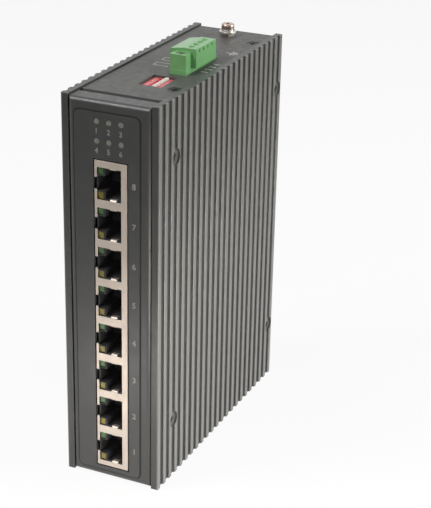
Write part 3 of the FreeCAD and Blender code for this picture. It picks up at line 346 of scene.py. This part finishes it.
# ---- printing ----
INK = surface("grey_ink", PRINT_GREY, 0.5, patch=1 * MM, depth=0.002 * MM)
PALE_INK = surface("pale_ink", PRINT_PALE, 0.5, patch=1 * MM, depth=0.002 * MM)
# painted shadow: a dark line around the film's edge, where shade falls
FILM_EDGE_SHADOW = surface("painted_film_shadow", FILM_SHADOW_DARK, 0.7, patch=3 * MM, depth=0.004 * MM)
FILM_RADIUS = 2.0 * MM
# width of the painted shadow line around the film
FILM_SHADOW_WIDTH = 0.65 * MM
CORNER_STEPS = 8
INK_LIFT = 0.015 * MM
INK_THICKNESS = 0.005 * MM
BOLD = 0.035            # growth of a numeral's outline, as a share of its height
FONT_SHARE = 0.7        # share of the font's size that a numeral is high
FONT_STEPS = 4
ON_FRONT = Euler((math.pi / 2, 0.0, 0.0)).to_matrix()
ON_TOP = Matrix.Identity(3)

PORTS = 8
PORT_CONTACTS = 7.59 * MM
LIGHT_COLUMNS = 3
LIGHT_ROWS = 2
LIGHT_SIZE = 2.0 * MM
POLES = 4
PIN_SIZE = 1.0 * MM
SLIDERS = 5

PORT_NUMBER = 2.3 * MM
PORT_NUMBER_GAP = 2.9 * MM
PORT_NUMBER_RISE = 0.9 * MM
LIGHT_NUMBER = 2.0 * MM
LIGHT_NUMBER_DROP = 3.7 * MM
POLE_NUMBER = 2.9 * MM
POLE_NUMBER_GAP = 2.4 * MM
BRACKET_GAP = 9.0 * MM
BRACKET_ARM = 6.5 * MM
BRACKET_LINE = 0.35 * MM
SLIDER_NUMBER = 1.3 * MM
SLIDER_NUMBER_INSET = 1.5 * MM
EARTH_LEFT = 1.6 * MM       # from the plug's right side
EARTH_BEHIND = 9.8 * MM     # from the plug's back end
EARTH_LINE = 0.5 * MM
EARTH_STEM = 2.4 * MM
EARTH_PITCH = 1.1 * MM
EARTH_BARS = (5.4 * MM, 3.7 * MM, 2.0 * MM)


def spread(low, high, size, count):
    """Middles of count equal things of one size that fill the stretch from low to high."""
    pitch = (high - low - size) / (count - 1)
    return [low + size / 2 + index * pitch for index in range(count)]


def pole_places():
    """Y of the terminal's poles."""
    low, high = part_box("header_pins")
    return spread(low.y, high.y, PIN_SIZE, POLES)


def printed_number(name, number, height, place, facing, turn, ink, body):
    """A plain number printed on a face and turned within it."""
    curve = bpy.data.curves.new(name, "FONT")
    curve.body = str(number)
    curve.size = height / FONT_SHARE
    curve.offset = BOLD * height
    curve.align_x = "CENTER"
    curve.align_y = "CENTER"
    curve.extrude = INK_THICKNESS
    curve.resolution_u = FONT_STEPS
    curve.materials.append(ink)
    piece = bpy.data.objects.new(name, curve)
    bpy.context.scene.collection.objects.link(piece)
    spin = Matrix.Rotation(turn, 3, "Z")
    piece.matrix_world = Matrix.Translation(place) @ (facing @ spin).to_4x4()
    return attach(piece, body)


def printed_bars(name, bars, ink, body):
    """Flat bars on the top, each given by its middle and its lengths along X and Y."""
    shape = bmesh.new()
    for middle, along_x, along_y in bars:
        size = Matrix.Diagonal((along_x, along_y, 2 * INK_THICKNESS, 1.0))
        bmesh.ops.create_cube(shape, size=1.0, matrix=Matrix.Translation(middle) @ size)
    piece = add_piece(name, shape)
    piece.data.materials.append(ink)
    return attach(piece, body)


def number_ports():
    """Upright port numbers beside the sockets, a little above their middles."""
    low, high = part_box("jack_contacts")
    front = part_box("front_label")[0].y - INK_LIFT
    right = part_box("jack_shield")[1].x + PORT_NUMBER_GAP
    for index, middle in enumerate(spread(low.z, high.z, PORT_CONTACTS, PORTS)):
        place = Vector((right, front, middle + PORT_NUMBER_RISE))
        printed_number("port_number_" + str(index + 1), index + 1, PORT_NUMBER, place, ON_FRONT, 0.0,
                       INK, "case")


def number_lights():
    """Numbers under the status lights, counted along the upper row first."""
    low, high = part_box("status_leds")
    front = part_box("front_label")[0].y - INK_LIFT
    number = 0
    for middle_z in reversed(spread(low.z, high.z, LIGHT_SIZE, LIGHT_ROWS)):
        for middle_x in spread(low.x, high.x, LIGHT_SIZE, LIGHT_COLUMNS):
            number += 1
            place = Vector((middle_x, front, middle_z - LIGHT_NUMBER_DROP))
            printed_number("light_number_" + str(number), number, LIGHT_NUMBER, place, ON_FRONT, 0.0,
                           INK, "case")


def number_poles():
    """Numbers along the right of the terminal's poles, and a bracket for each two on their left."""
    plug_low, plug_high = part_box("terminal_plug")
    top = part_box("cover")[1].z + INK_LIFT
    poles = pole_places()
    for index, middle in enumerate(poles):
        place = Vector((plug_high.x + POLE_NUMBER_GAP, middle, top))
        printed_number("pole_number_" + str(index + 1), index + 1, POLE_NUMBER, place, ON_TOP, math.pi / 2,
                       PALE_INK, "case")
    left = plug_low.x - BRACKET_GAP
    for pair, (first, second) in enumerate(zip(poles[0::2], poles[1::2])):
        bars = [(Vector((left, (first + second) / 2, top)), BRACKET_LINE, second - first)]
        for pole in (first, second):
            bars.append((Vector((left + BRACKET_ARM / 2, pole, top)), BRACKET_ARM, BRACKET_LINE))
        printed_bars("pole_bracket_" + str(pair + 1), bars, PALE_INK, "case")


def earth_mark():
    """Plain earth mark on the top between the terminal and the right top screw, foot to the right."""
    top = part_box("cover")[1].z + INK_LIFT
    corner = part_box("terminal_plug")[1]
    start = Vector((corner.x - EARTH_LEFT, corner.y + EARTH_BEHIND, top))
    bars = [(start + Vector((EARTH_STEM / 2, 0.0, 0.0)), EARTH_STEM, EARTH_LINE)]
    for index, length in enumerate(EARTH_BARS):
        bars.append((start + Vector((EARTH_STEM + index * EARTH_PITCH, 0.0, 0.0)), EARTH_LINE, length))
    printed_bars("earth_mark", bars, PALE_INK, "case")


def number_sliders():
    """Numbers beside the DIP switch's sliders."""
    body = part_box("dip_body")
    for index in range(SLIDERS):
        low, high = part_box("dip_slider_" + str(index + 1))
        place = Vector((body[0].x + SLIDER_NUMBER_INSET, (low.y + high.y) / 2, body[1].z + INK_LIFT))
        printed_number("slider_number_" + str(index + 1), index + 1, SLIDER_NUMBER, place, ON_TOP,
                       math.pi / 2, PALE_INK, "case")


def rounded_loop(shape, low, high, depth, margin):
    """Loop of points around the film at one depth, a margin outside its rounded outline."""
    loop = []
    radius = FILM_RADIUS + margin
    left, right = low.x + FILM_RADIUS, high.x - FILM_RADIUS
    bottom, top = low.z + FILM_RADIUS, high.z - FILM_RADIUS
    centres = [(right, top), (left, top), (left, bottom), (right, bottom)]
    for corner, (x, z) in enumerate(centres):
        for step in range(CORNER_STEPS + 1):
            angle = math.pi / 2 * (corner + step / CORNER_STEPS)
            loop.append(shape.verts.new((x + radius * math.cos(angle), depth, z + radius * math.sin(angle))))
    return loop


def film_edge():
    """Thin dark line around the film on the front: painted shadow along the film's edge."""
    low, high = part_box("front_label")
    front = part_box("front_panel")[0].y - INK_LIFT
    back = front + INK_THICKNESS
    shape = bmesh.new()
    loops = [rounded_loop(shape, low, high, front, 0.0), rounded_loop(shape, low, high, front, FILM_SHADOW_WIDTH),
             rounded_loop(shape, low, high, back, FILM_SHADOW_WIDTH), rounded_loop(shape, low, high, back, 0.0)]
    for first, second in zip(loops, loops[1:] + loops[:1]):
        for index in range(len(first)):
            after = (index + 1) % len(first)
            shape.faces.new((first[index], first[after], second[after], second[index]))
    bmesh.ops.recalc_face_normals(shape, faces=shape.faces)
    piece = add_piece("film_edge", shape)
    piece.data.materials.append(FILM_EDGE_SHADOW)
    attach(piece, "case")


# ---- terminal plug ----
PLUG_RISE = 7.5 * MM
PLUG_LEFT_RISE = 6.7 * MM
PLUG_SLOPE = 5.0 * MM
PLUG_END = 2.93 * MM
FLANGE_RISE = 6.1 * MM
FLANGE_HALF = 3.35 * MM
TONGUE_HALF = 2.35 * MM
TONGUE_END = 0.93 * MM
TONGUE_ROOT = 0.2 * MM
WELL_RISE = 1.6 * MM
WELL_GAP = 0.05 * MM
SOCKET_HALF = 1.2 * MM
CLAMP_RISE = 4.0 * MM
CLAMP_RADIUS = 1.35 * MM
FUNNEL_RADIUS = 1.55 * MM
FUNNEL_DEPTH = 1.3 * MM
WIRE_RADIUS = 1.0 * MM
WIRE_SHIFT = 1.7 * MM
SLOT_WIDTH = 0.9 * MM
SLOT_HEIGHT = 1.2 * MM
SLOT_DEPTH = 0.6 * MM
FLANGE_HEAD_RADIUS = 2.0 * MM
FLANGE_HEAD_DEPTH = 1.5 * MM
FLANGE_BORE_RADIUS = 1.3 * MM
PAST = 1.0 * MM
ROD_SIDES = 40


def add_prism(shape, outline, start, end):
    """Prism along Y with an outline of (x, z) points."""
    near = [shape.verts.new((x, start, z)) for x, z in outline]
    far = [shape.verts.new((x, end, z)) for x, z in outline]
    shape.faces.new(near)
    shape.faces.new(far[::-1])
    count = len(outline)
    for index in range(count):
        after = (index + 1) % count
        shape.faces.new((near[index], far[index], far[after], near[after]))


def add_box(shape, low, high):
    """Box between two corners."""
    outline = [(low[0], low[2]), (high[0], low[2]), (high[0], high[2]), (low[0], high[2])]
    add_prism(shape, outline, low[1], high[1])


def add_rod(shape, start, end, radius, end_radius):
    """Rod or cone from one point to another."""
    start = Vector(start)
    axis = Vector(end) - start
    place = Matrix.Translation(start + axis / 2) @ axis.to_track_quat("Z", "Y").to_matrix().to_4x4()
    bmesh.ops.create_cone(shape, cap_ends=True, segments=ROD_SIDES, radius1=radius, radius2=end_radius,
                          depth=axis.length, matrix=place)


def shape_object(name, fill):
    """Object whose mesh a function fills."""
    shape = bmesh.new()
    fill(shape)
    bmesh.ops.recalc_face_normals(shape, faces=shape.faces)
    return add_piece(name, shape)


def combine(piece, operation, fill):
    """Adds a shape to a piece's mesh or cuts it away."""
    tool = shape_object("tool", fill)
    step = piece.modifiers.new("step", "BOOLEAN")
    step.operation = operation
    step.solver = "EXACT"
    step.object = tool
    bpy.context.view_layer.update()
    scene_state = bpy.context.evaluated_depsgraph_get()
    result = bpy.data.meshes.new_from_object(piece.evaluated_get(scene_state))
    piece.modifiers.remove(step)
    piece.data = result
    bpy.data.objects.remove(tool)


def make_plug():
    """Terminal plug: sloped on its left, a wire funnel for each pole and a screw flange at each end."""
    low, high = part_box("terminal_plug")
    clamp_low, clamp_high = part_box("wire_clamps")
    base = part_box("terminal_header")[1].z
    poles = pole_places()
    middle = (clamp_low.x + clamp_high.x) / 2
    near = poles[0] - PLUG_END
    far = poles[-1] + PLUG_END
    top = base + PLUG_RISE
    well_x = (clamp_high.x - clamp_low.x) / 2 + WELL_GAP
    well_y = poles[0] - clamp_low.y + WELL_GAP
    well_low = base + WELL_RISE
    well_high = clamp_high.z + WELL_GAP
    flange_top = base + FLANGE_RISE
    flange_centres = ((low.y + near) / 2, (far + high.y) / 2)
    wire = middle + WIRE_SHIFT

    def body(shape):
        outline = [(low.x, base), (high.x, base), (high.x, top), (low.x + PLUG_SLOPE, top),
                   (low.x, base + PLUG_LEFT_RISE)]
        add_prism(shape, outline, near, far)

    def flanges(shape):
        add_box(shape, (middle - FLANGE_HALF, low.y, base), (middle + FLANGE_HALF, high.y, flange_top))

    def tongue(shape):
        add_box(shape, (middle - TONGUE_HALF, near + TONGUE_END, low.z),
                (middle + TONGUE_HALF, far - TONGUE_END, base + TONGUE_ROOT))

    def wells(shape):
        for y in poles:
            add_box(shape, (middle - well_x, y - well_y, well_low), (middle + well_x, y + well_y, well_high))

    def sockets(shape):
        for y in poles:
            add_box(shape, (middle - SOCKET_HALF, y - SOCKET_HALF, low.z - PAST),
                    (middle + SOCKET_HALF, y + SOCKET_HALF, well_low + WELL_GAP))

    def clamp_holes(shape):
        for y in poles:
            add_rod(shape, (low.x - PAST, y, base + CLAMP_RISE), (middle, y, base + CLAMP_RISE),
                    CLAMP_RADIUS, CLAMP_RADIUS)

    def wire_holes(shape):
        for y in poles:
            add_rod(shape, (wire, y, well_high - WELL_GAP), (wire, y, top + PAST), WIRE_RADIUS, WIRE_RADIUS)

    def funnels(shape):
        flare = (FUNNEL_RADIUS - WIRE_RADIUS) / FUNNEL_DEPTH
        for y in poles:
            add_rod(shape, (wire, y, top - FUNNEL_DEPTH), (wire, y, top + PAST),
                    WIRE_RADIUS, FUNNEL_RADIUS + flare * PAST)

    def slots(shape):
        for y in poles:
            add_box(shape, (high.x - SLOT_DEPTH, y - SLOT_WIDTH / 2, top - SLOT_DEPTH - SLOT_HEIGHT),
                    (high.x + PAST, y + SLOT_WIDTH / 2, top - SLOT_DEPTH))

    def flange_seats(shape):
        for y in flange_centres:
            add_rod(shape, (middle, y, flange_top - FLANGE_HEAD_DEPTH), (middle, y, flange_top + PAST),
                    FLANGE_HEAD_RADIUS, FLANGE_HEAD_RADIUS)

    def flange_bores(shape):
        for y in flange_centres:
            add_rod(shape, (middle, y, base - PAST), (middle, y, flange_top), FLANGE_BORE_RADIUS,
                    FLANGE_BORE_RADIUS)

    piece = shape_object("plug_moulding", body)
    for added in (flanges, tongue):
        combine(piece, "UNION", added)
    for removed in (wells, sockets, clamp_holes, wire_holes, funnels, slots, flange_seats, flange_bores):
        combine(piece, "DIFFERENCE", removed)
    piece.data.materials.clear()
    piece.data.materials.append(MATERIALS["terminal_green"])
    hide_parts("terminal_plug")
    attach(piece, "plug_unit")


# ---- spring ----
SPRING_WIRE = 0.25 * MM
SPRING_TURNS = 7
TURN_STEPS = 28
WIRE_SIDES = 12
END_CLOSING = 0.55      # 0 is an even pitch, 1 lays the end turns flat
STEEP = 0.9             # above this share of Z, a direction counts as upright


def tube(name, points, radius, sides):
    """Round bar along a list of points."""
    shape = bmesh.new()
    rings = []
    for index, point in enumerate(points):
        ahead = points[min(index + 1, len(points) - 1)] - points[max(index - 1, 0)]
        along = ahead.normalized()
        across = along.orthogonal() if abs(along.z) > STEEP else along.cross(Vector((0, 0, 1)))
        across.normalize()
        over = along.cross(across)
        ring = []
        for step in range(sides):
            angle = 2 * math.pi * step / sides
            spoke = math.cos(angle) * across + math.sin(angle) * over
            ring.append(shape.verts.new(point + radius * spoke))
        rings.append(ring)
    for first, second in zip(rings, rings[1:]):
        for step in range(sides):
            after = (step + 1) % sides
            shape.faces.new((first[step], first[after], second[after], second[step]))
    shape.faces.new(rings[0][::-1])
    shape.faces.new(rings[-1])
    bmesh.ops.recalc_face_normals(shape, faces=shape.faces)
    piece = add_piece(name, shape)
    piece.data.polygons.foreach_set("use_smooth", [True] * len(piece.data.polygons))
    return piece


def coil_spring():
    """Round-wire spring with closed end turns, in place of the CAD one."""
    low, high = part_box("foot_spring")
    radius = (high.x - low.x) / 2 - SPRING_WIRE
    centre = Vector(((low.x + high.x) / 2, (low.y + high.y) / 2, 0))
    steps = SPRING_TURNS * TURN_STEPS
    points = []
    for step in range(steps + 1):
        share = step / steps
        eased = share - math.sin(4 * math.pi * share) / (4 * math.pi) * END_CLOSING
        angle = 2 * math.pi * SPRING_TURNS * share
        height = low.z + SPRING_WIRE + (high.z - low.z - 2 * SPRING_WIRE) * eased
        points.append(centre + Vector((radius * math.cos(angle), radius * math.sin(angle), height)))
    piece = tube("coil_spring", points, SPRING_WIRE, WIRE_SIDES)
    piece.data.materials.append(MATERIALS["spring_steel"])
    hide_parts("foot_spring")
    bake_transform(piece)


# ---- stage ----
def floor_material():
    """White floor that keeps a faint shadow for the camera."""
    material = bpy.data.materials.new("studio_floor")
    material.use_nodes = True
    tree = material.node_tree
    tree.nodes.clear()
    output = tree.nodes.new("ShaderNodeOutputMaterial")
    diffuse = new_node(tree, "ShaderNodeBsdfDiffuse", Color=(*FLOOR_WHITE, 1.0))
    glow = new_node(tree, "ShaderNodeEmission", Color=(*WHITE, 1.0), Strength=1.0)
    path = tree.nodes.new("ShaderNodeLightPath")
    seen = any_of(tree, path.outputs["Is Camera Ray"], path.outputs["Is Glossy Ray"])
    mix = tree.nodes.new("ShaderNodeMixShader")
    tree.links.new(remap(tree, seen, 0.0, 1.0, 0.0, FLOOR_GLOW), mix.inputs["Fac"])
    tree.links.new(diffuse.outputs["BSDF"], mix.inputs[1])
    tree.links.new(glow.outputs["Emission"], mix.inputs[2])
    tree.links.new(mix.outputs["Shader"], output.inputs["Surface"])
    return material


def lay_floor():
    """White sheet under the feet, long behind the object and short in front and on the right."""
    mesh = bpy.data.meshes.new("floor")
    corners = [(SHEET_LEFT, SHEET_FRONT, 0.0), (SHEET_RIGHT, SHEET_FRONT, 0.0),
               (SHEET_RIGHT, SHEET_BACK, 0.0), (SHEET_LEFT, SHEET_BACK, 0.0)]
    mesh.from_pydata(corners, [], [(0, 1, 2, 3)])
    mesh.materials.append(floor_material())
    floor = bpy.data.objects.new("floor", mesh)
    floor.location = (0.0, 0.0, cad_low[2])
    bpy.context.scene.collection.objects.link(floor)


def light_world():
    """Room around the sheet: white above and behind, dim in front and under, all white for the camera."""
    world = bpy.data.worlds.new("studio")
    bpy.context.scene.world = world
    world.use_nodes = True
    tree = world.node_tree
    tree.nodes.clear()
    output = tree.nodes.new("ShaderNodeOutputWorld")
    coords = tree.nodes.new("ShaderNodeTexCoord")
    axes = tree.nodes.new("ShaderNodeSeparateXYZ")
    tree.links.new(coords.outputs["Generated"], axes.inputs["Vector"])
    behind = remap(tree, axes.outputs["Y"], *ROOM_DEPTHS, 0.0, 1.0)
    above = remap(tree, axes.outputs["Z"], *HORIZON, 0.0, 1.0)
    path = tree.nodes.new("ShaderNodeLightPath")
    lit = tree.nodes.new("ShaderNodeMath")
    lit.operation = "MULTIPLY"
    tree.links.new(behind, lit.inputs[0])
    tree.links.new(above, lit.inputs[1])
    white = any_of(tree, lit.outputs["Value"], path.outputs["Is Camera Ray"])
    room = mix_colours(tree, white, ROOM_DIM, WHITE)
    full = any_of(tree, path.outputs["Is Camera Ray"], path.outputs["Is Glossy Ray"],
                  path.outputs["Is Transmission Ray"])
    background = new_node(tree, "ShaderNodeBackground")
    tree.links.new(room, background.inputs["Color"])
    tree.links.new(remap(tree, full, 0.0, 1.0, ROOM_STRENGTH, 1.0), background.inputs["Strength"])
    tree.links.new(background.outputs["Background"], output.inputs["Surface"])


def add_lamp(name, place, target, size, power, colour):
    """Square soft lamp aimed at a point and out of the camera's sight."""
    light = bpy.data.lights.new(name, "AREA")
    light.shape = "SQUARE"
    light.size = size
    light.energy = power
    light.color = colour
    lamp = bpy.data.objects.new(name, light)
    lamp.visible_camera = False
    lamp.location = place
    lamp.rotation_euler = (Vector(target) - Vector(place)).to_track_quat("-Z", "Y").to_euler()
    bpy.context.scene.collection.objects.link(lamp)


def add_camera():
    """Camera at the photograph's angle."""
    data = bpy.data.cameras.new("camera")
    data.sensor_fit = "HORIZONTAL"
    data.sensor_width = CAMERA_SENSOR
    data.lens = CAMERA_LENS
    data.shift_x, data.shift_y = CAMERA_SHIFT
    camera = bpy.data.objects.new("camera", data)
    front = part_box("front_panel")[0].y
    camera.location = CAMERA_OFFSET + Vector((0.0, front, 0.0))
    camera.rotation_euler = [math.radians(angle) for angle in CAMERA_ANGLES]
    bpy.context.scene.collection.objects.link(camera)
    bpy.context.scene.camera = camera


dress_nodes()
number_ports()
number_lights()
number_poles()
earth_mark()
number_sliders()
film_edge()
make_plug()
coil_spring()
lay_floor()
light_world()
for lamp in LAMPS:
    add_lamp(*lamp)
add_camera()
bpy.context.scene.view_settings.view_transform = "Standard"
